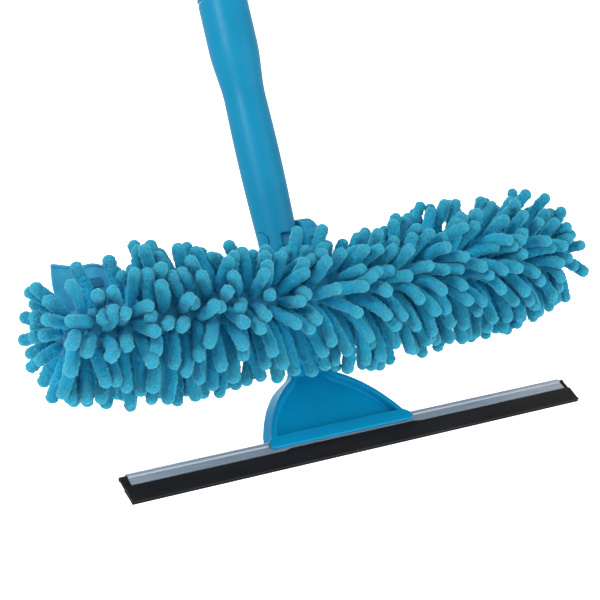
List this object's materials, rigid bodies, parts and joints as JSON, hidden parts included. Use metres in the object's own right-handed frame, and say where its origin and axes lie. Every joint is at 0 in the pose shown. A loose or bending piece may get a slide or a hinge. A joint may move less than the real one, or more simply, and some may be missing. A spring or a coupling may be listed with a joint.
{
  "type": "window cleaning squeegee",
  "caption": "Hand window cleaner: tilting head with a fan-shaped holder, aluminium channel and black rubber blade, and a chenille washer sleeve on a bar in front of it.",
  "frame": {"origin": "centre of the pole socket's mouth, at the top of the handle", "axes": "+Z along the handle and out of the pole socket, +X along the rubber blade, the washer on the -Y side"},
  "size_m": [0.355, 0.0946, 0.2783],
  "materials": {
    "blue_gloss": "smooth moulded, glossy",
    "knob_plastic": "moulded, satin to glossy",
    "bar_plastic": "extruded, matte",
    "steel": "zinc plated",
    "channel": "satin extruded",
    "rubber": "matte black",
    "friction": "fibre-filled rubber",
    "sleeve": "woven polyester",
    "pile": "microfibre chenille",
    "patch": "hook-and-loop tape"
  },
  "bodies": {
    "handle": {"handle_grip": "blue_gloss", "pole_socket": "knob_plastic", "hinge_bolt": "steel", "bolt_plug": "blue_gloss", "friction_disc": "friction"},
    "knob": {"lock_knob": "knob_plastic", "knob_nut": "steel", "knob_cap": "blue_gloss"},
    "head": {"clamp_washer": "steel", "head_hub": "blue_gloss", "squeegee_holder": "blue_gloss", "hub_screws": "steel", "jaw_plate": "blue_gloss", "jaw_screws": "steel", "washer_bar": "bar_plastic", "bar_cap_left": "bar_plastic", "bar_cap_right": "bar_plastic", "bar_screws": "steel", "sleeve_backing": "sleeve", "sleeve_end_left": "sleeve", "sleeve_end_right": "sleeve", "slit_binding": "sleeve", "loop_patch": "patch", "chenille_pile": "pile"},
    "blade": {"blade_channel": "channel", "rubber_blade": "rubber"},
    "flap": {"closure_flap": "sleeve", "flap_patch": "patch", "hook_patch": "patch"}
  },
  "joints": [
    {"name": "head_tilt", "type": "hinge", "parent": "handle", "child": "head", "pos_m": [0, 0, -0.15], "axis": [1, 0, 0], "range_deg": [-50, 90]},
    {"name": "knob_turn", "type": "hinge", "parent": "handle", "child": "knob", "pos_m": [0, 0, -0.15], "axis": [1, 0, 0], "range_deg": [0, 270]},
    {"name": "channel_slide", "type": "slide", "parent": "head", "child": "blade", "axis": [1, 0, 0], "range_m": [-0.03, 0.01]},
    {"name": "flap_fold", "type": "hinge", "parent": "head", "child": "flap", "pos_m": [-0.139, -0.03892, -0.17751], "axis": [1, 0, 0], "range_deg": [-90, 0]}
  ]
}
